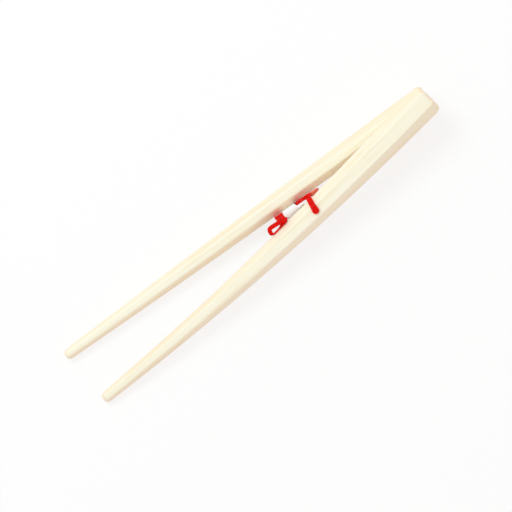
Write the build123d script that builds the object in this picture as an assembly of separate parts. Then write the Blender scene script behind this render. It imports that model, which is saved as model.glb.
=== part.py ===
from build123d import *
from math import asin, cos, degrees, hypot, pi, radians, sin, sqrt, tan
import os

# A pair of wooden chopsticks lying crossed at their handles: the upper one's handle
# rests on the lower one's, and a rolled paper wedge bound with a rubber band holds
# the fork open. All sizes are in millimetres and all angles in degrees. +X points
# from the tips to the handles, +Z up, and the floor is z = 0.

# one stick, wide across its broad faces and narrow across the other two
stick_length = 180.0
handle_wide = 13.5
handle_narrow = 9.1
tip_wide = 4.5
tip_narrow = 4.4
narrow_belly = 1.0
handle_chamfer_wide = 3.8
handle_chamfer_narrow = 3.1
tip_chamfer = 1.25
handle_edge_round = 0.6
tip_edge_round = 1.5
handle_end_round = 2.2
tip_round = 2.1

# how the two sticks lie
upper_bow = 3.0
upper_turn = 3.6
lower_turn = -3.3
handle_offset = 1.55
rest_gap = 0.03
underside_cut = 0.01

# the paper roll in the fork, from its crushed tail back to its mouth
paper_tail_from_handle = 66.0
paper_tail_length = 2.6
paper_step_length = 0.7
paper_body_length = 5.3
paper_flare_length = 0.8
paper_mouth_length = 0.3
paper_thickness = 0.16
paper_turns = 2
paper_core = 0.35
paper_open_depth = 3.0
paper_half_girth = 12.7
paper_foot_height = 2.2
side_gap = 0.06

# the rubber band, cut flat
band_width = 1.8
band_thickness = 0.75
band_gap = 0.05
crease = 0.25

# its free loop, which hangs from the ring round the paper
loop_length = 8.4
loop_width = 3.2
loop_spread = 1.7
loop_skew = 0.3
loop_root_width = 0.9
loop_bend = 1.2
loop_strand_width = 1.5
loop_edge_width = 0.75
loop_eye_start = 3.0
loop_eye_point = 0.1
loop_droop = 5.0
loop_tilt = 36.0
loop_root_share = 0.35
loop_sink = 0.05

# its closed loop, which climbs beside the lower stick and lies across the upper one
riser_foot_drop = 0.45
riser_gap = 0.15
riser_lean = 0.8
riser_knee_height = 10.0
riser_bend = 1.2
riser_hold = 0.5
strap_from_handle = 64.4
strap_slant = 12.0
strap_thickness = 0.9
strap_gap = 0.08
strap_overhang = 1.6
strap_flat_length = 3.5
strap_bend = 1.0
strap_neck_width = 2.2
strap_end_width = 3.0

# its pinched end, wedged where the fork closes
pinch_length = 5.5
pinch_height = 9.4
pinch_width = 1.5


def blend(start, end, share):
    return start + (end - start) * share


def swell(share):
    return 4 * share * (1 - share)


def wide_at(s):
    return blend(tip_wide, handle_wide, s / stick_length)


def narrow_at(s):
    u = s / stick_length
    return blend(tip_narrow, handle_narrow, u) + narrow_belly * swell(u)


def corners_at(s, grow=0.0):
    """The eight-sided section at s from the tip, moved out by grow: its half sizes and chamfer legs."""
    u = s / stick_length
    leg_wide = blend(tip_chamfer, handle_chamfer_wide, u)
    leg_narrow = blend(tip_chamfer, handle_chamfer_narrow, u)
    slant = hypot(leg_wide, leg_narrow)
    normal_wide = leg_narrow / slant
    normal_narrow = leg_wide / slant
    leg_narrow += grow - grow * (1 - normal_wide) / normal_narrow
    leg_wide += grow - grow * (1 - normal_narrow) / normal_wide
    return wide_at(s) / 2 + grow, narrow_at(s) / 2 + grow, leg_wide, leg_narrow


def stick_section(s, scale=1.0):
    a, b, leg_wide, leg_narrow = corners_at(s)
    quarter = [(a, b - leg_narrow), (a - leg_wide, b)]
    points = quarter + [(-x, y) for x, y in reversed(quarter)]
    points += [(-x, -y) for x, y in quarter] + [(x, -y) for x, y in reversed(quarter)]
    rounding = blend(tip_edge_round, handle_edge_round, s / stick_length)
    outline = FilletPolyline(*[(x * scale, y * scale) for x, y in points], radius=rounding * scale, close=True)
    return make_face(outline)


def bow_at(s, bow):
    return -bow * swell(s / stick_length)


def station(s, bow):
    """A plane square to the stick's centre line, its x across the broad faces and its y up."""
    lean = -4 * bow * (1 - 2 * s / stick_length) / stick_length
    return Plane(origin=(s, bow_at(s, bow), 0), x_dir=(-lean, 1, 0), z_dir=(1, lean, 0))


def stick(bow):
    shaft_end = stick_length - handle_end_round
    stations = [blend(tip_round, shaft_end, n / 6) for n in range(7)]
    shaft = loft([station(s, bow) * stick_section(s) for s in stations])
    tip = loft([
        station(tip_round * (1 - sin(radians(angle))), bow) * stick_section(tip_round, cos(radians(angle)))
        for angle in (0, 18, 36, 52, 66)
    ])
    inset = 2 * handle_end_round / handle_wide
    handle_end = loft([
        station(shaft_end + handle_end_round * sin(radians(angle)), bow)
        * stick_section(shaft_end, 1 - inset * (1 - cos(radians(angle))))
        for angle in (0, 22.5, 45, 67.5, 90)
    ])
    return shaft + tip + handle_end


def drop(across, half_across, leg_across, leg_up):
    """How far the top of a section lies below the top of its middle, at a distance across."""
    past = abs(across) - (half_across - leg_across)
    return max(0.0, past) * leg_up / leg_across


# the lower stick lies on one narrow face, its underside flat on the floor
shaft_end = stick_length - handle_end_round
lower_rise = (wide_at(shaft_end) - wide_at(tip_round)) / 2 / (shaft_end - tip_round)
lower_pitch = degrees(asin(lower_rise))


def seat_pitch():
    """The slope at which the upper stick, its tip on the floor, just clears the lower one's handle."""
    steepest = 0.0
    for n in range(1, 300):
        x = -0.25 * n
        s = stick_length + x
        wide, narrow, leg_wide, leg_narrow = corners_at(s)
        lower_y = handle_offset / 2 + x * tan(radians(lower_turn))
        upper_y = -handle_offset / 2 + x * tan(radians(upper_turn)) + bow_at(s, upper_bow)
        lower_middle = wide_at(tip_round) / 2 + (s - tip_round) * lower_rise
        for m in range(41):
            y = lower_y + narrow * (m / 20 - 1)
            if abs(y - upper_y) > wide:
                continue
            top = lower_middle + wide - drop(y - lower_y, narrow, leg_narrow, leg_wide)
            under = narrow - drop(y - upper_y, wide, leg_wide, leg_narrow)
            middle = top + under + rest_gap
            steepest = max(steepest, (middle - narrow_at(tip_round) / 2) / (s - tip_round))
    return degrees(asin(steepest))


def place(pitch, turn, side):
    """Puts a stick's handle end beside the crossing, with its tip on the floor."""
    tip_middle = (narrow_at(tip_round) if side < 0 else wide_at(tip_round)) / 2
    lift = tip_middle + (stick_length - tip_round) * sin(radians(pitch))
    return Pos(0, side * handle_offset / 2, lift) * Rot(0, 0, turn) * Rot(0, -pitch, 0) * Pos(-stick_length, 0, 0)


upper_pitch = seat_pitch()
lower_place = Pos(0, 0, -underside_cut) * place(lower_pitch, lower_turn, 1)
upper_place = place(upper_pitch, upper_turn, -1)
lower_chopstick = lower_place * Rot(90, 0, 0) * stick(0)
lower_chopstick = split(lower_chopstick, bisect_by=Plane.XY, keep=Keep.TOP)
upper_chopstick = upper_place * stick(upper_bow)


# the fork between the sticks, seen from above, at x
def lower_side(x):
    s = stick_length + x / cos(radians(lower_turn))
    return handle_offset / 2 + x * tan(radians(lower_turn)) - narrow_at(s) / 2


def upper_side(x):
    s = stick_length + x / cos(radians(upper_turn))
    middle = -handle_offset / 2 + x * tan(radians(upper_turn)) + bow_at(s, upper_bow)
    return middle + wide_at(s) / 2


def oval(low_y, high_y, grow=0.0):
    """The flattened round between two sides: its middle, half width and half straight height."""
    half = (high_y - low_y) / 2
    straight = (paper_half_girth - pi * half) / 2
    return (low_y + high_y) / 2, half + grow, straight


def across(x, middle_y):
    """A plane square across the fork at x, its x towards the lower stick and its y up."""
    return Plane(origin=(x, middle_y, paper_centre_height), x_dir=(0, 1, 0), z_dir=(1, 0, 0))


def roll_outline(x, low_y, high_y, grow=0.0):
    middle_y, half, straight = oval(low_y, high_y, grow)
    return across(x, middle_y) * SlotCenterToCenter(2 * straight, 2 * half, rotation=90)


def roll_air(low_y, high_y):
    """The air between the turns of the sheet, as a spiral strip that starts at its core."""
    half, straight = oval(low_y, high_y)[1:]
    half_turns = 2 * paper_turns
    pitch = (half - paper_core) / half_turns
    sides = [half - n * pitch for n in range(half_turns + 1)]

    def run(inset):
        edges = []
        for n, (here, there) in enumerate(zip(sides, sides[1:])):
            sign = 1 if n % 2 == 0 else -1
            start = sign * (here - inset)
            end = -sign * (there - inset)
            radius = abs(start - end) / 2
            edges.append(Line((start, -sign * straight), (start, sign * straight)))
            edges.append(ThreePointArc(
                (start, sign * straight),
                ((start + end) / 2, sign * (straight + radius)),
                (end, sign * straight),
            ))
        return edges

    outside = run(paper_thickness)
    inside = run(pitch)
    ends = [
        Line(outside[-1] @ 1, inside[-1] @ 1),
        Line(outside[0] @ 0, inside[0] @ 0),
    ]
    return make_face(Wire(outside + inside + ends))


tail_x = -paper_tail_from_handle
step_x = tail_x - paper_tail_length
shoulder_x = step_x - paper_step_length
flare_x = shoulder_x - paper_body_length
ring_end_x = flare_x - paper_flare_length
ring_start_x = ring_end_x - 2 * band_width
pinch = band_thickness + 2 * band_gap


def fork(x):
    return upper_side(x) + side_gap, lower_side(x) - side_gap


def crushed_fork(x):
    """The fork less the room that the doubled band takes beside the lower stick."""
    low_y, high_y = fork(x)
    return low_y, high_y - 2 * band_thickness - 2 * band_gap


def pinched_fork(x):
    low_y, high_y = fork(x)
    return low_y + pinch, high_y - pinch


# the crushed tail is the roll's tallest place
tail_half, tail_straight = oval(*crushed_fork(tail_x))[1:]
paper_centre_height = paper_foot_height + tail_straight + tail_half

mouth_x = ring_start_x - paper_mouth_length
paper_wedge = loft(
    [
        roll_outline(mouth_x, *pinched_fork(ring_start_x)),
        roll_outline(ring_end_x, *pinched_fork(ring_end_x)),
        roll_outline(flare_x, *fork(flare_x)),
        roll_outline(shoulder_x, *fork(shoulder_x)),
        roll_outline(step_x, *crushed_fork(step_x)),
        roll_outline(tail_x, *crushed_fork(tail_x)),
    ],
    ruled=True,
)

# the turns stand open at the mouth, where nothing crushes them
mouth_middle = across(mouth_x, sum(pinched_fork(ring_end_x)) / 2)
paper_wedge -= extrude(mouth_middle * roll_air(*pinched_fork(ring_end_x)), paper_open_depth)


# the band's two turns round the paper's mouth, side by side with a crease between them
def ring_solid(grows):
    middle_x = (ring_start_x + ring_end_x) / 2
    places = (ring_start_x, middle_x - crease, middle_x, middle_x + crease, ring_end_x)
    faces = [roll_outline(x, *pinched_fork(x), grow) for x, grow in zip(places, grows)]
    return loft(faces, ruled=True)


ring_outside = band_gap + band_thickness
ring = ring_solid([ring_outside, ring_outside, ring_outside - crease, ring_outside, ring_outside])
ring -= ring_solid([band_gap] * 5)

# the loop that hangs off the ring towards the tips, as a flat strip on a sloping plane
loop_fall = tan(radians(loop_droop))
loop_lean = tan(radians(loop_tilt))
root_y, root_half, root_straight = oval(*pinched_fork(ring_end_x), ring_outside)
root_across = -loop_root_share * root_half
root_height = paper_centre_height + root_straight + sqrt(root_half**2 - root_across**2)
loop_plane = Plane(
    origin=(ring_end_x, root_y + root_across, root_height - loop_sink),
    x_dir=(-1, 0, -loop_fall),
    z_dir=(-loop_fall, -loop_lean, 1),
)
loop_bends = [
    (loop_length - loop_bend, loop_bend - loop_spread),
    (loop_length + loop_skew - loop_bend, loop_width - loop_spread - loop_bend),
]


def loop_hull(bend_radius, root_along, root_radius):
    circles = [Pos(*spot) * Circle(bend_radius) for spot in loop_bends]
    circles.append(Pos(root_along, loop_root_width / 2) * Circle(root_radius))
    return make_hull([edge for circle in circles for edge in circle.edges()])


half_band = band_width / 2
loop_face = loop_hull(loop_bend + half_band, 0, half_band + loop_root_width / 2)
eye_bend = loop_bend + half_band - (loop_strand_width + loop_edge_width) / 2
eye_shift = (loop_strand_width - loop_edge_width) / 2
loop_face -= Pos(-eye_shift, eye_shift) * loop_hull(eye_bend, loop_eye_start, loop_eye_point)
loop = extrude(loop_plane * loop_face, band_thickness / 2, both=True)

# the strap over the upper stick: down the slope of its near chamfer and flat on its broad face
strap_station = station(stick_length - strap_from_handle, upper_bow)
strap_wide, strap_narrow, strap_leg_wide, strap_leg_narrow = corners_at(
    stick_length - strap_from_handle, strap_gap + strap_thickness / 2
)
bend_across = strap_wide - strap_leg_wide
end_across = bend_across - strap_flat_length
neck_across = strap_wide + strap_overhang
neck_up = strap_narrow - (neck_across - bend_across) * strap_leg_narrow / strap_leg_wide
strap_line = FilletPolyline(
    (neck_across, neck_up),
    (bend_across, strap_narrow),
    (end_across, strap_narrow),
    radius=strap_bend,
)
strap_strip = extrude(strap_station * trace(strap_line, strap_thickness), handle_wide / 2, both=True)

# its outline seen from above: a narrow neck that widens to a round end
slant = radians(strap_slant)
end_round = strap_end_width / 2
end_along = end_across / cos(slant) + end_round
bend_along = bend_across / cos(slant)
neck_along = neck_across / cos(slant) + end_round
club = make_face(Polyline(
    (end_along, -end_round),
    (bend_along, -strap_neck_width / 2),
    (neck_along, -strap_neck_width / 2),
    (neck_along, strap_neck_width / 2),
    (bend_along, strap_neck_width / 2),
    (end_along, end_round),
    close=True,
))
club += Pos(end_along, 0) * Circle(end_round)
club_place = strap_station.location * Rot(-90, 0, 0) * Rot(0, 0, -strap_slant)
strap = strap_strip & extrude(club_place * club, handle_narrow, both=True)

# the doubled band between the ring and the strap, on edge beside the lower stick
neck = (upper_place * strap_station.location * Pos(neck_across, neck_up, neck_across * tan(slant))).position
riser_slope = (lower_side(neck.X) - lower_side(ring_end_x)) / (neck.X - ring_end_x)
riser_plane = Plane(
    origin=(neck.X, lower_side(neck.X) - side_gap - band_thickness, 0),
    x_dir=(1, riser_slope, 0),
    z_dir=(riser_slope, -1, 0),
)
riser_foot_height = paper_foot_height - riser_foot_drop
climb = step_x + half_band + riser_gap - neck.X
riser_line = FilletPolyline(
    (ring_end_x - neck.X - riser_hold, riser_foot_height),
    (climb, riser_foot_height),
    (climb + riser_lean, riser_knee_height),
    (0, neck.Z),
    radius=riser_bend,
)
riser = extrude(riser_plane * trace(riser_line, band_width), band_thickness, both=True)

# the strand that goes on past the strap, pinched where the fork closes
pinch_end_x = neck.X + pinch_length
pinch_face = make_face(Polyline(
    (tail_x, lower_side(tail_x) - side_gap),
    (pinch_end_x, lower_side(pinch_end_x) - side_gap),
    (pinch_end_x, max(upper_side(pinch_end_x) + side_gap, lower_side(pinch_end_x) - side_gap - 2 * band_thickness)),
    (tail_x, lower_side(tail_x) - side_gap - 2 * band_thickness),
    close=True,
))
pinch_strand = extrude(Pos(0, 0, pinch_height) * pinch_face, pinch_width / 2, both=True)

rubber_band = ring + loop + riser + pinch_strand + upper_place * strap

parts = {
    "lower_chopstick": lower_chopstick,
    "upper_chopstick": upper_chopstick,
    "paper_wedge": paper_wedge,
    "rubber_band": rubber_band,
}

# the origin is the middle of the whole object's box, on the floor
box = Compound(list(parts.values())).bounding_box()
to_origin = Pos(-box.center().X, -box.center().Y, -box.min.Z)

os.makedirs("parts", exist_ok=True)
for name, solid in parts.items():
    placed = to_origin * solid
    placed.label = name
    export_step(placed, f"parts/{name}.step")
    print(name, placed.volume, placed.bounding_box(), len(placed.solids()), len(placed.faces()))
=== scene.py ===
from math import cos, pi, radians, sin, tan

import bpy
from mathutils import Matrix, Vector


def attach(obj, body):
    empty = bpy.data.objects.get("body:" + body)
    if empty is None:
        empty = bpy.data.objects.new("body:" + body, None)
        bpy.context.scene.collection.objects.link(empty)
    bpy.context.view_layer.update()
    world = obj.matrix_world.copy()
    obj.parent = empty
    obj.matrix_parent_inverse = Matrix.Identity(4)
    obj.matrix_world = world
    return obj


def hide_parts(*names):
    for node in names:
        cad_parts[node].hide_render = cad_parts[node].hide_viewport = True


MM = 0.001

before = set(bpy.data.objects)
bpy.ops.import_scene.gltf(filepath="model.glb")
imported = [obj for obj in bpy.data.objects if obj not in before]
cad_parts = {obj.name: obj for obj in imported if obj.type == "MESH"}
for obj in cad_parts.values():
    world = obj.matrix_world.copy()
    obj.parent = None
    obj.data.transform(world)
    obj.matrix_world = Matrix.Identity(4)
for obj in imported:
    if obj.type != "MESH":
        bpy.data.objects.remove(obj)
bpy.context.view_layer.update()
bpy.ops.object.select_all(action="DESELECT")

# How the two sticks lie, in degrees: their turn in plan and the slope up to their handles.
UPPER_TURN, UPPER_SLOPE = 3.6, 5.3
LOWER_TURN, LOWER_SLOPE = -3.3, 1.5

# The picture looks straight down, with the handles turned this far from the right.
VIEW_TURN = radians(39.3)
VIEW_AIM = Vector((-4.96, -5.44, 8.0)) * MM
VIEW_DISTANCE = 2500 * MM
VIEW_WIDTH = 206.6 * MM

# The fork in plan, in millimetres: where each stick's side is at x = 0, and how it runs along x.
UPPER_SIDE, UPPER_SIDE_RISE, UPPER_SIDE_BOW = -4.038, 0.0883, 0.00038
LOWER_SIDE, LOWER_SIDE_RISE = 2.772, -0.0686

# The rubber band, cut flat: its size at rest in millimetres, and how thick it is where it is stretched.
BAND = 1.8
BAND_THICK = 0.75
BAND_GAP = 0.05
CUT_EDGE = 0.14
RING_WIDTH, RING_THICK = 1.72, 0.72
LOOP_THICK = 0.68
STRAND_THICK = 0.71
NECK_THICK = 0.74
STRAP_THICK = 0.8
PINCH_THICK = 0.62

# The paper roll in the fork, in millimetres: its sheet, its turns and its creases, and then along x its
# mouth, the band's two turns and the places where its sheet is shaped.
SHEET = 0.1
ROLL_CORE = 0.35
ROLL_TURNS = 3
ROLL_HEIGHT = 8.17
HALF_GIRTH = 12.7
CREASE_SPACING = 1.4
CREASE_DEPTH = 0.07
MOUTH = 10.12
FIRST_TURN = 11.32
SECOND_TURN = FIRST_TURN + BAND
PINCHED_PLACES = (MOUTH, FIRST_TURN - BAND / 2, FIRST_TURN + BAND / 2, SECOND_TURN + BAND / 2)
OPEN_PLACES = (14.82, 16.6, 18.4, 20.12)
CRUSHED_PLACES = (20.82, 22.1, 23.42)

# the room that the ring takes on either side of the roll, and the doubled strand on one
RING_ROOM = BAND_THICK + 2 * BAND_GAP
STRAND_ROOM = 2 * BAND_THICK + 2 * BAND_GAP

# where the band's pinched end starts along the fork, and the length over which its painted highlight fades
# in
PINCH_START = 27.4
PINCH_FADE = 1.2

# The wood's streaks in millimetres, long and wide. Real fibres are finer, too fine for the picture to show.
GROWTH_BAND = (91, 1.25)
FIBRE = (12.5, 0.25)

# the paper's flocks of fibre and the patches of talc on the rubber, in millimetres across
PAPER_FLOCK = 0.833
TALC_PATCH = 1.54

# Points of a mesh that are this near each other, in millimetres, are one.
SAME_PLACE = 0.01

# A colour mix's sockets: its two colours and its result.
MIX_FIRST, MIX_SECOND, MIX_RESULT = 6, 7, 2


def linear(hex_colour):
    """Turns an sRGB hex colour into the linear one that Blender's sockets take."""
    channels = [int(hex_colour[n:n + 2], 16) / 255 for n in (0, 2, 4)]
    return [c / 12.92 if c <= 0.04045 else ((c + 0.055) / 1.055) ** 2.4 for c in channels] + [1.0]


def add_node(material, kind, settings, links):
    """Adds a node: settings for its properties and open sockets, and links for the sockets fed by others."""
    node = material.node_tree.nodes.new(kind)
    for name, value in settings.items():
        if isinstance(name, str) and hasattr(node, name):
            setattr(node, name, value)
        else:
            node.inputs[name].default_value = value
    for name, source in links.items():
        material.node_tree.links.new(source, node.inputs[name])
    return node


def new_material(name):
    material = bpy.data.materials.new(name)
    material.use_nodes = True
    material.node_tree.nodes.clear()
    return material


def finish_material(material, shader):
    add_node(material, "ShaderNodeOutputMaterial", {}, {"Surface": shader})
    return material


def ramp(material, source, stops):
    """Blends hex colours along a value, at the given stops."""
    node = add_node(material, "ShaderNodeValToRGB", {}, {"Fac": source})
    for n, (place, colour) in enumerate(stops):
        stop = node.color_ramp.elements[n] if n < 2 else node.color_ramp.elements.new(place)
        stop.position = place
        stop.color = linear(colour)
    return node.outputs["Color"]


def grain(material, along, size, detail, roughness):
    """Streaks drawn out along the stick, as long and wide as the size says."""
    length, width = size
    painted_highlight = add_node(
        material, "ShaderNodeMapping",
        {"Scale": (1 / (length * MM), 1 / (width * MM), 1 / (width * MM))},
        {"Vector": along},
    )
    return add_node(
        material, "ShaderNodeTexNoise",
        {"Scale": 1.0, "Detail": detail, "Roughness": roughness},
        {"Vector": painted_highlight.outputs["Vector"]},
    ).outputs["Fac"]


def mottle(material, size, detail):
    """Round patches of the given size in millimetres."""
    place = add_node(material, "ShaderNodeTexCoord", {}, {}).outputs["Object"]
    return add_node(
        material, "ShaderNodeTexNoise",
        {"Scale": 1 / (size * MM), "Detail": detail},
        {"Vector": place},
    ).outputs["Fac"]


def surface(material, colour, height, relief, depth, roughness, specular):
    """The shader of a plain solid stuff, with a fine relief as deep as it says in millimetres."""
    bump = add_node(
        material, "ShaderNodeBump",
        {"Strength": relief, "Distance": depth * MM},
        {"Height": height},
    )
    shader = add_node(
        material, "ShaderNodeBsdfPrincipled",
        {"Roughness": roughness, "Specular IOR Level": specular},
        {"Base Color": colour, "Normal": bump.outputs["Normal"]},
    )
    return finish_material(material, shader.outputs["BSDF"])


def poplar(name, turn, slope):
    """Bare white poplar, sawn and tumbled smooth: pale straight grain, a little darker in its pores."""
    material = new_material(name)
    place = add_node(material, "ShaderNodeTexCoord", {}, {})
    along = add_node(
        material, "ShaderNodeMapping",
        {"vector_type": "TEXTURE", "Rotation": (0, radians(-slope), radians(turn))},
        {"Vector": place.outputs["Object"]},
    ).outputs["Vector"]
    band = grain(material, along, GROWTH_BAND, 3.0, 0.45)
    fibre = grain(material, along, FIBRE, 2.0, 0.6)
    tone = add_node(
        material, "ShaderNodeMix",
        {"data_type": "FLOAT", "Factor": 0.5},
        {"A": band, "B": fibre},
    ).outputs["Result"]
    face = ramp(material, tone, [(0.28, "f8ebca"), (0.48, "fef9e1"), (0.68, "fffcea")])
    # painted shade: the chamfers and narrow sides are tinted pinker than the broad faces, by how far they
    # tilt from level
    upright = add_node(
        material, "ShaderNodeSeparateXYZ", {}, {"Vector": place.outputs["Normal"]},
    ).outputs["Z"]
    level = add_node(
        material, "ShaderNodeMath", {"operation": "ABSOLUTE"}, {"Value": upright},
    ).outputs["Value"]
    # painted shade mask: nothing on level faces, full on faces that tilt towards upright
    cut = add_node(
        material, "ShaderNodeMapRange",
        {"From Min": 0.97, "From Max": 0.65},
        {"Value": level},
    ).outputs["Result"]
    # painted shade: the face colour is multiplied by a pink tint where the faces tilt
    colour = add_node(
        material, "ShaderNodeMix",
        {"data_type": "RGBA", "blend_type": "MULTIPLY", MIX_SECOND: linear("fff4ee")},
        {"Factor": cut, MIX_FIRST: face},
    ).outputs[MIX_RESULT]
    return surface(material, colour, fibre, relief=0.25, depth=0.05, roughness=0.5, specular=0.3)


def wrapper_paper():
    """Thin uncoated wrapper paper: matt white with faint grey fibre clouds."""
    material = new_material("uncoated_wrapper_paper")
    cloud = mottle(material, PAPER_FLOCK, 4.0)
    colour = ramp(material, cloud, [(0.3, "f3efed"), (0.7, "fffcfb")])
    return surface(material, colour, cloud, relief=0.3, depth=0.04, roughness=0.8, specular=0.3)


def band_rubber():
    """Dyed natural rubber, extruded and cut: satin red, dusted with talc, and painted paler towards its
    wedged end, a painted highlight where it lies in shade.
    """
    material = new_material("dyed_natural_rubber")
    bloom = mottle(material, TALC_PATCH, 3.0)
    relaxed = ramp(material, bloom, [(0.3, "d60a03"), (0.6, "e91007"), (0.8, "ec2a1c")])
    # painted highlight: pale salmon colours for the band's end in the fork, which lies in shade
    painted_highlight = ramp(material, bloom, [(0.35, "e85a45"), (0.7, "ff9a84")])
    place = add_node(material, "ShaderNodeTexCoord", {}, {}).outputs["Object"]
    along = add_node(material, "ShaderNodeSeparateXYZ", {}, {"Vector": place}).outputs["X"]
    pinched = add_node(
        material, "ShaderNodeMapRange",
        {"From Min": PINCH_START * MM, "From Max": (PINCH_START + PINCH_FADE) * MM},
        {"Value": along},
    ).outputs["Result"]
    colour = add_node(
        material, "ShaderNodeMix",
        {"data_type": "RGBA"},
        {"Factor": pinched, MIX_FIRST: relaxed, MIX_SECOND: painted_highlight},
    ).outputs[MIX_RESULT]
    return surface(material, colour, bloom, relief=0.2, depth=0.03, roughness=0.3, specular=0.1)


def dress(node, material):
    """Gives a CAD node its material."""
    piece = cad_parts[node]
    piece.data.materials.clear()
    piece.data.materials.append(material)


dress("upper_chopstick", poplar("bare_poplar_upper", UPPER_TURN, UPPER_SLOPE))
dress("lower_chopstick", poplar("bare_poplar_lower", LOWER_TURN, LOWER_SLOPE))
paper = wrapper_paper()
rubber = band_rubber()
dress("paper_wedge", paper)
dress("rubber_band", rubber)

UP = Vector((0, 0, 1))
OUT = Vector((0, 1, 0))
ALONG = Vector((1, 0, 0))


def mm(x, y, z):
    return Vector((x, y, z)) * MM


def blend(start, end, share):
    return start + (end - start) * share


def upper_side(x):
    return UPPER_SIDE + UPPER_SIDE_RISE * x + UPPER_SIDE_BOW * x**2


def lower_side(x):
    return LOWER_SIDE + LOWER_SIDE_RISE * x


def roll_section(x):
    """The flattened roll at x: its middle, its half width and the half height of its straight sides."""
    low = upper_side(x)
    high = lower_side(x)
    if x <= PINCHED_PLACES[-1]:
        low += RING_ROOM
        high -= RING_ROOM
    elif x >= CRUSHED_PLACES[0]:
        high -= STRAND_ROOM
    half = (high - low) / 2
    return (low + high) / 2, half, (HALF_GIRTH - pi * half) / 2


def edit(piece, test):
    """Goes into edit mode on a piece with only the vertices selected that pass the test."""
    bpy.ops.object.select_all(action="DESELECT")
    bpy.context.view_layer.objects.active = piece
    piece.select_set(True)
    bpy.ops.object.mode_set(mode="EDIT")
    bpy.ops.mesh.select_mode(type="VERT")
    bpy.ops.mesh.select_all(action="DESELECT")
    bpy.ops.object.mode_set(mode="OBJECT")
    for vertex in piece.data.vertices:
        vertex.select = test(vertex.co)
    bpy.ops.object.mode_set(mode="EDIT")


def extrude(shift):
    bpy.ops.mesh.extrude_region_move(TRANSFORM_OT_translate={"value": shift})


def turn(matrix, centre):
    """Turns what is selected by a rotation, one axis after another, about a point."""
    for axis, angle in zip("XYZ", matrix.to_euler("XYZ")):
        bpy.ops.transform.rotate(value=-angle, orient_axis=axis, center_override=centre)


def face_out():
    """Turns all the faces of the piece in edit mode outwards."""
    bpy.ops.mesh.select_all(action="SELECT")
    bpy.ops.mesh.normals_make_consistent(inside=False)


def settle(piece, material, node):
    """Gives a finished piece its material and its body, and hides the CAD node that it stands for."""
    piece.data.materials.clear()
    piece.data.materials.append(material)
    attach(piece, "root")
    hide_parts(node)


def lie(along, flat):
    """How a strip lies: its width across, its flat side's normal and its run, as a rotation."""
    along = along.normalized()
    across = flat.cross(along).normalized()
    return Matrix((across, along.cross(across), along)).transposed()


def draw_strip(name, stations, closed=False):
    """Draws a flat rubber strip by extruding its section from station to station.
    A station is its place, its run, its flat side's normal, its width and its thickness."""
    bpy.ops.object.select_all(action="DESELECT")
    bpy.ops.mesh.primitive_plane_add(size=1)
    piece = bpy.context.object
    piece.name = name
    bpy.ops.object.mode_set(mode="EDIT")
    bpy.ops.mesh.select_mode(type="FACE")
    bpy.ops.mesh.select_all(action="SELECT")
    place, along, flat, width, thickness = stations[0]
    bpy.ops.transform.resize(value=(width * MM, thickness * MM, 1), center_override=(0, 0, 0))
    turn(lie(along, flat), (0, 0, 0))
    bpy.ops.transform.translate(value=place)
    for before, after in zip(stations, stations[1:]):
        extrude((0, 0, 0))
        turn(lie(before[1], before[2]).transposed(), before[0])
        bpy.ops.transform.translate(value=after[0] - before[0])
        growth = (after[3] / before[3], after[4] / before[4], 1)
        bpy.ops.transform.resize(value=growth, center_override=after[0])
        turn(lie(after[1], after[2]), after[0])
    bpy.ops.object.mode_set(mode="OBJECT")
    if closed:
        close_strip(piece, place)
    finish_strip(piece)


def close_strip(piece, seam):
    """Takes out a strip's two end faces, which lie on each other at the seam, and joins their edges."""
    for face in piece.data.polygons:
        face.select = (face.center - seam).length < SAME_PLACE * MM
    bpy.ops.object.mode_set(mode="EDIT")
    bpy.ops.mesh.delete(type="FACE")
    bpy.ops.mesh.select_all(action="SELECT")
    bpy.ops.mesh.remove_doubles(threshold=SAME_PLACE * MM)
    bpy.ops.object.mode_set(mode="OBJECT")


def finish_strip(piece):
    """Turns the faces out and rounds the cut edges."""
    bpy.ops.object.mode_set(mode="EDIT")
    face_out()
    bpy.ops.object.mode_set(mode="OBJECT")
    rounding = piece.modifiers.new("cut_edges", "BEVEL")
    rounding.width = CUT_EDGE * MM
    rounding.segments = 2
    rounding.limit_method = "ANGLE"
    rounding.angle_limit = radians(50)
    bpy.ops.object.modifier_apply(modifier=rounding.name)
    bpy.ops.object.shade_smooth_by_angle(angle=radians(40))
    settle(piece, rubber, "rubber_band")


def arc(centre, start, end, radius, first, second, steps):
    """Places, runs and outward ways along an arc between two angles, in the plane of two directions."""
    stops = []
    for n in range(steps + 1):
        angle = radians(blend(start, end, n / steps))
        outward = first * cos(angle) + second * sin(angle)
        run = second * cos(angle) - first * sin(angle)
        stops.append((centre + outward * radius * MM, run, outward))
    return stops


def spline(before, here, there, after, share):
    """The place and the run on a smooth line between two knots, from the knots before and after them."""
    leave = (there - before) / 2
    reach = (after - here) / 2
    square = share**2
    cube = share**3
    place = (
        here * (2 * cube - 3 * square + 1) + leave * (cube - 2 * square + share)
        + there * (3 * square - 2 * cube) + reach * (cube - square)
    )
    run = (
        here * (6 * square - 6 * share) + leave * (3 * square - 4 * share + 1)
        + there * (6 * share - 6 * square) + reach * (3 * square - 2 * share)
    )
    return place, run.normalized()


def smooth_run(knots, thickness, steps):
    """Stations along a smooth line through knots of a place, a flat side's normal and a width."""
    places = [Vector(knot[0]) * MM for knot in knots]
    flats = [Vector(knot[1]).normalized() for knot in knots]
    widths = [knot[2] for knot in knots]
    padded = [places[0]] + places + [places[-1]]
    stations = []
    for n in range(len(knots) - 1):
        for step in range(steps):
            share = step / steps
            place, run = spline(*padded[n:n + 4], share)
            flat = flats[n].lerp(flats[n + 1], share)
            stations.append((place, run, flat, blend(widths[n], widths[n + 1], share), thickness))
    place, run = spline(*padded[-4:], 1)
    stations.append((place, run, flats[-1], widths[-1], thickness))
    return stations


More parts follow.
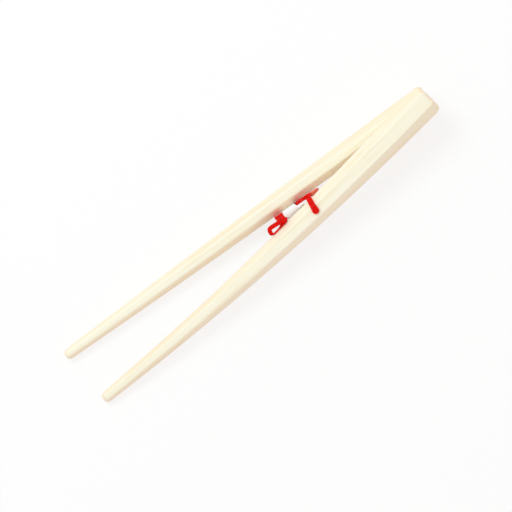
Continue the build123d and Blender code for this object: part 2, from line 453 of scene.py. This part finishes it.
def rounded_path(points, radius, steps):
    """Runs through points in a plane, with an arc at each corner."""
    corners = [Vector(point) for point in points]
    path = [(corners[0], (corners[1] - corners[0]).normalized())]
    for before, corner, after in zip(corners, corners[1:], corners[2:]):
        come = (corner - before).normalized()
        go = (after - corner).normalized()
        bend = come.angle(go)
        entry = corner - come * radius * tan(bend / 2)
        inward = (go - come * come.dot(go)).normalized()
        for n in range(steps + 1):
            turned = bend * n / steps
            place = entry + (come * sin(turned) + inward * (1 - cos(turned))) * radius
            path.append((place, come.slerp(go, n / steps)))
    path.append((corners[-1], (corners[-1] - corners[-2]).normalized()))
    return path


def backwards(stations):
    return [(place, run * -1, flat, width, thick) for place, run, flat, width, thick in reversed(stations)]


# The ring: the band's two turns round the paper's mouth, one strip each.
# Its strips' middles lie this far outside the paper, and it narrows this fast towards the handles.
RING_LIFT = 0.417
RING_TAPER = 0.083
# The second turn slants this much along the fork as it climbs, as a stretched band does.
RING_SLANT = 0.0067


def ring_turn(name, x, slant):
    """One turn round the roll, in two half circles with straight sides between them."""
    middle, half, straight = roll_section(x)
    stations = []
    for side, start in ((1, 0), (-1, 180)):
        centre = mm(x, middle, ROLL_HEIGHT + side * straight)
        for place, run, outward in arc(centre, start, start + 180, half + RING_LIFT, OUT, UP, steps=10):
            lean = ALONG * slant * (place.z - ROLL_HEIGHT * MM)
            stations.append((place + lean, run, outward + ALONG * RING_TAPER, RING_WIDTH, RING_THICK))
    stations.append(stations[0])
    draw_strip(name, stations, closed=True)


ring_turn("band_ring_front", FIRST_TURN, 0.0)
ring_turn("band_ring_back", SECOND_TURN, RING_SLANT)

# The free loop: it leaves the ring flat, turns back in a bend and returns on edge beside the upper stick.
LOOP = [
    ((14.1, -1.75, 13.85), (0, -0.50, 0.87), 1.60),
    ((13.0, -1.45, 14.62), (0, -0.35, 0.94), 1.60),
    ((11.2, -1.00, 14.80), (0, -0.15, 0.99), 1.65),
    ((9.4, -0.72, 14.60), (0, 0, 1), 1.80),
    ((8.0, -0.57, 14.40), (0, 0, 1), 1.85),
    ((6.86, -0.45, 14.20), (0, 0, 1), 1.80),
    ((5.95, -0.72, 13.95), (0, 0, 1), 1.75),
    ((5.60, -1.50, 13.55), (-0.15, -0.10, 0.98), 1.70),
    ((5.50, -2.45, 12.95), (-0.40, -0.25, 0.88), 1.55),
    ((5.75, -2.97, 12.50), (-0.70, -0.65, 0.35), 1.35),
    ((6.70, -3.07, 12.40), (-0.1, -1, 0), 1.30),
    ((9.0, -2.84, 12.70), (0, -1, 0), 1.30),
    ((11.5, -2.42, 13.25), (0, -0.9, 0.45), 1.20),
    ((13.2, -2.15, 13.45), (0, -0.7, 0.7), 1.15),
]
draw_strip("band_free_loop", smooth_run(LOOP, LOOP_THICK, steps=3))

# The doubled strand's two feet: each leaves the ring flat and turns on edge under the roll.
FOOT_INNER = [
    ((13.2, -0.95, 2.32), (0, -0.2, -1), 1.50),
    ((15.2, -0.60, 2.25), (0, 0, -1), 1.60),
    ((17.6, -0.05, 2.00), (0, 0.6, -0.8), 1.70),
    ((19.6, 0.30, 1.78), (0.07, 1, -0.15), 1.80),
]
FOOT_OUTER = [
    ((13.2, 0.55, 2.55), (0, 0.45, -0.9), 1.45),
    ((15.2, 0.75, 2.40), (0, 0.5, -0.85), 1.60),
    ((17.6, 0.95, 2.00), (0, 0.85, -0.5), 1.70),
    ((19.6, 1.05, 1.78), (0.07, 1, -0.1), 1.80),
]

# The riser: the two strands side by side, along x and up.
RISER = [(20.2, 1.75), (21.87, 1.75), (22.67, 10.0), (24.2, 11.34)]
RISER_BEND = 1.2

# The neck: each strand turns over the gap of the fork, up from the riser and back down.
NECK_INNER = [
    ((24.6, -0.04, 11.70), (0.07, 1, 0), 1.65),
    ((25.3, -0.12, 12.55), (0.07, 1, 0.2), 1.45),
    ((25.55, -0.35, 13.55), (0, 0.9, 0.5), 1.2),
]
NECK_OUTER = [
    ((26.75, 0.00, 13.95), (0, 0.75, 0.65), 1.2),
    ((26.35, 0.52, 13.20), (0.07, 1, 0.3), 1.45),
    ((25.0, 0.68, 12.03), (0.07, 1, 0), 1.65),
]

# The strap over the upper stick: its place and directions are the bowed stick's own there.
STRAP_CENTRE = mm(25.59, -6.76, 12.73)
STRAP_TURN = radians(4.69)
STRAP_LIE = Matrix.Rotation(STRAP_TURN, 3, "Z") @ Matrix.Rotation(-radians(UPPER_SLOPE), 3, "Y")
STRAP_ALONG = STRAP_LIE @ ALONG
STRAP_OUT = STRAP_LIE @ OUT
STRAP_UP = STRAP_LIE @ UP

# in millimetres out and up from the stick's middle: down its chamfer, flat on its top and round the end
STRAP_TOP = 4.7
STRAP_END = 0.42
STRAP = [(5.6, 2.04), (2.45, STRAP_TOP), (STRAP_END, STRAP_TOP)]
STRAP_BEND = 1.0
STRAP_SLANT = radians(12)

# each strand's width, and how far it lies from the strap's middle line, which both grow towards the end
STRAP_NARROW, STRAP_WIDE = 1.08, 1.46
STRAP_CLOSE, STRAP_APART = 0.56, 0.76
STRAP_GROWS_FROM, STRAP_GROWS_OVER = 3.4, 3.5


def riser_stations(offset):
    """One strand on edge beside the lower stick, so far from the middle of the doubled strand."""
    stations = []
    for place, way in rounded_path(RISER, RISER_BEND, steps=6):
        spot = mm(place.x, lower_side(place.x) - BAND_THICK + offset, place.y)
        run = Vector((way.x, LOWER_SIDE_RISE * way.x, way.y))
        stations.append((spot, run, Vector((-LOWER_SIDE_RISE, 1, 0)), BAND, STRAND_THICK))
    return stations


def on_strap(out, up, along):
    """A place on the strap, from how far out and up it is and how far beside the strap's slanting line."""
    along += out * tan(STRAP_SLANT)
    return STRAP_CENTRE + (STRAP_OUT * out + STRAP_UP * up + STRAP_ALONG * along) * MM


def strap_stations():
    """One strand goes out to the strap's end, turns round it and comes back beside itself."""
    going = []
    coming = []
    for place, way in rounded_path(STRAP, STRAP_BEND, steps=4):
        share = min(1, max(0, (STRAP_GROWS_FROM - place.x) / STRAP_GROWS_OVER))
        spread = blend(STRAP_CLOSE, STRAP_APART, share)
        width = blend(STRAP_NARROW, STRAP_WIDE, share)
        run = STRAP_OUT * way.x + STRAP_UP * way.y + STRAP_ALONG * way.x * sin(STRAP_SLANT)
        flat = STRAP_OUT * way.y - STRAP_UP * way.x
        going.append((on_strap(place.x, place.y, -spread), run, flat, width, STRAP_THICK))
        coming.append((on_strap(place.x, place.y, spread), run, flat, width, STRAP_THICK))
    away = (STRAP_OUT + STRAP_ALONG * sin(STRAP_SLANT)).normalized() * -1
    beside = away.cross(STRAP_UP).normalized()
    tip = on_strap(STRAP_END, STRAP_TOP, 0)
    bend = arc(tip, 0, 180, STRAP_APART, beside, away, steps=10)[1:-1]
    end = [(place, run, STRAP_UP, STRAP_WIDE, STRAP_THICK) for place, run, outward in bend]
    return going + end + backwards(coming)


# The whole strand, from under the ring to the strap and back.
climb = smooth_run(FOOT_INNER, STRAND_THICK, steps=3) + riser_stations(-BAND_THICK / 2)
neck_up = smooth_run(NECK_INNER, NECK_THICK, steps=2)
neck_down = smooth_run(NECK_OUTER, NECK_THICK, steps=2)
descent = backwards(smooth_run(FOOT_OUTER, STRAND_THICK, steps=3) + riser_stations(BAND_THICK / 2))
draw_strip("band_strap", climb + neck_up + strap_stations() + neck_down + descent)

# The pinched end: the doubled strand wedged where the fork closes, with its last turn twisted.
PINCH = [
    ((23.0, 0.84, 9.50), (0, 1, 0), 1.45),
    ((25.4, 0.64, 9.50), (0, 1, 0), 1.45),
    ((27.0, 0.50, 9.60), (0, 1, 0.1), 1.35),
    ((28.3, 0.20, 9.95), (0, 0.8, 0.6), 1.05),
    ((29.8, 0.02, 9.80), (0, 0.5, 0.87), 0.90),
    ((31.0, -0.02, 9.55), (0, 0.9, 0.4), 0.85),
    ((31.55, -0.30, 9.45), (1, 0, 0), 0.85),
    ((30.9, -0.62, 9.50), (0, -1, 0.2), 0.85),
    ((29.7, -0.66, 9.40), (0, -0.8, 0.6), 0.90),
    ((28.3, -0.74, 9.65), (0, -0.8, 0.6), 1.05),
    ((27.0, -0.28, 9.55), (0, -1, 0.2), 1.35),
    ((25.4, -0.10, 9.45), (0, -1, 0), 1.45),
    ((23.0, 0.10, 9.45), (0, -1, 0), 1.45),
    ((21.4, 0.25, 9.40), (0, -1, 0), 1.40),
    ((21.02, 0.62, 9.40), (-1, 0, 0), 1.40),
    ((21.4, 0.95, 9.40), (0, 1, 0), 1.40),
    ((23.0, 0.84, 9.50), (0, 1, 0), 1.45),
]
pinch_run = smooth_run(PINCH, PINCH_THICK, steps=3)
# its last station is its first one again
pinch_run[-1] = pinch_run[0]
draw_strip("band_pinched_end", pinch_run, closed=True)


# The paper: one sheet rolled up from its outer edge, then squeezed to the fork and the band.
def roll_paper():
    places = PINCHED_PLACES + OPEN_PLACES + CRUSHED_PLACES
    start, end = places[0], places[-1]
    middle, half, straight = roll_section(OPEN_PLACES[0])
    bpy.ops.object.select_all(action="DESELECT")
    bpy.ops.mesh.primitive_grid_add(x_subdivisions=len(places) - 1, y_subdivisions=1, size=1)
    piece = bpy.context.object
    piece.name = "paper_roll"
    bpy.ops.object.mode_set(mode="EDIT")
    bpy.ops.mesh.select_all(action="SELECT")
    size = ((end - start) * MM, 2 * straight * MM, 1)
    bpy.ops.transform.resize(value=size, center_override=(0, 0, 0))
    bpy.ops.transform.rotate(value=-radians(90), orient_axis="X", center_override=(0, 0, 0))
    bpy.ops.transform.translate(value=mm((start + end) / 2, middle + half - SHEET / 2, ROLL_HEIGHT))
    bpy.ops.object.mode_set(mode="OBJECT")
    roll_up(piece, half, straight)
    squeeze(piece, places, middle, half, straight)
    return piece


def roll_up(piece, half, straight):
    """The sheet's upper edge leads it round, half a turn and a straight side at a time."""
    half_turns = 2 * ROLL_TURNS
    pitch = (half - ROLL_CORE) / half_turns
    steps = 8
    edit(piece, lambda co: co.z > ROLL_HEIGHT * MM)
    for n in range(half_turns):
        side = 1 if n % 2 == 0 else -1
        radius = half - SHEET / 2 - pitch * (n + 0.5)
        for step in range(steps):
            before = radians(180 * step / steps)
            after = radians(180 * (step + 1) / steps)
            extrude(mm(0, cos(after) - cos(before), sin(after) - sin(before)) * side * radius)
        extrude(mm(0, 0, -2 * side * straight))
    bpy.ops.object.mode_set(mode="OBJECT")


def squeeze(piece, places, middle, half, straight):
    """Each column of the sheet goes to its place along the fork and to the fork's width there."""
    columns = sorted({round(vertex.co.x, 7) for vertex in piece.data.vertices})
    for column, place in zip(columns, places):
        place_middle, place_half, place_straight = roll_section(place)
        edit(piece, lambda co: abs(co.x - column) < SAME_PLACE * MM)
        growth = (1, place_half / half, (place_half + place_straight) / (half + straight))
        centre = Vector((column, middle * MM, ROLL_HEIGHT * MM))
        bpy.ops.transform.resize(value=growth, center_override=centre)
        bpy.ops.transform.translate(value=(place * MM - column, (place_middle - middle) * MM, 0))
        bpy.ops.object.mode_set(mode="OBJECT")
    edit(piece, lambda co: True)
    bpy.ops.mesh.subdivide(number_cuts=2)
    bpy.ops.object.mode_set(mode="OBJECT")


def crumple(piece):
    """Small creases, and then the sheet's own thickness."""
    clouds = bpy.data.textures.new("creases", "CLOUDS")
    clouds.noise_scale = CREASE_SPACING * MM
    creases = piece.modifiers.new("creases", "DISPLACE")
    creases.texture = clouds
    creases.texture_coords = "LOCAL"
    creases.strength = CREASE_DEPTH * MM
    creases.mid_level = 0.5
    bpy.ops.object.modifier_apply(modifier=creases.name)
    wall = piece.modifiers.new("sheet", "SOLIDIFY")
    wall.thickness = SHEET * MM
    wall.offset = 0
    bpy.ops.object.modifier_apply(modifier=wall.name)
    edit(piece, lambda co: True)
    face_out()
    bpy.ops.object.mode_set(mode="OBJECT")
    bpy.ops.object.shade_smooth_by_angle(angle=radians(50))


paper_roll = roll_paper()
crumple(paper_roll)
settle(paper_roll, paper, "paper_wedge")


# The table: a plain one, a hair below the sticks, as large in metres as the picture needs.
TABLE_SIZE = 6
TABLE_DROP = 0.02
PLAIN_SHARE = 0.75


def table_top():
    """A pale matt table. The camera sees most of it as plain white, so that its shadows stay soft."""
    material = new_material("white_table_top")
    seen = add_node(material, "ShaderNodeLightPath", {}, {}).outputs["Is Camera Ray"]
    share = add_node(
        material, "ShaderNodeMath", {"operation": "MULTIPLY", 1: PLAIN_SHARE}, {0: seen},
    ).outputs["Value"]
    matt = add_node(material, "ShaderNodeBsdfDiffuse", {"Color": linear("ffffff")}, {}).outputs["BSDF"]
    white = add_node(material, "ShaderNodeEmission", {"Color": linear("ffffff")}, {}).outputs["Emission"]
    mix = add_node(material, "ShaderNodeMixShader", {}, {"Fac": share, 1: matt, 2: white})
    return finish_material(material, mix.outputs["Shader"])


bpy.ops.mesh.primitive_plane_add(size=TABLE_SIZE, location=mm(0, 0, -TABLE_DROP))
floor = bpy.context.object
floor.name = "table_top"
floor.data.materials.append(table_top())

# Soft studio light: a plain white room, and one large lamp from the picture's upper left.
# The room is a little warm and the lamp a little cool. On a level surface they add up to a plain white.
ROOM = (0.738, 0.664, 0.647)
LEVEL = 0.975
KEY_DISTANCE = 1.2
KEY_ELEVATION = radians(55)
KEY_SIZE = 0.5
image_right = Vector((cos(VIEW_TURN), -sin(VIEW_TURN), 0))
image_up = Vector((sin(VIEW_TURN), cos(VIEW_TURN), 0))

world = bpy.data.worlds.new("studio")
world.use_nodes = True
world.node_tree.nodes["Background"].inputs["Color"].default_value = (*ROOM, 1)
bpy.context.scene.world = world

key_side = (image_up - image_right).normalized()
key_place = (key_side * cos(KEY_ELEVATION) + UP * sin(KEY_ELEVATION)) * KEY_DISTANCE
key_colour = Vector(LEVEL - share for share in ROOM)
# a lamp's power is spread by pi over its directions, and a surface spreads its light by pi again
key_power = max(key_colour) * pi**2 * KEY_DISTANCE**2 / sin(KEY_ELEVATION)
bpy.ops.object.light_add(type="AREA", location=key_place)
key = bpy.context.object
key.name = "key_lamp"
key.data.size = KEY_SIZE
key.data.energy = key_power
key.data.color = key_colour / max(key_colour)
key.rotation_euler = key_place.to_track_quat("Z", "Y").to_euler()

# The camera looks straight down from far away, so that parallel edges stay parallel.
SENSOR = 36
bpy.ops.object.camera_add(location=VIEW_AIM + UP * VIEW_DISTANCE, rotation=(0, 0, -VIEW_TURN))
camera = bpy.context.object
camera.name = "camera"
camera.data.sensor_width = SENSOR
camera.data.lens = SENSOR * VIEW_DISTANCE / VIEW_WIDTH
bpy.context.scene.camera = camera
bpy.context.scene.view_settings.view_transform = "Standard"
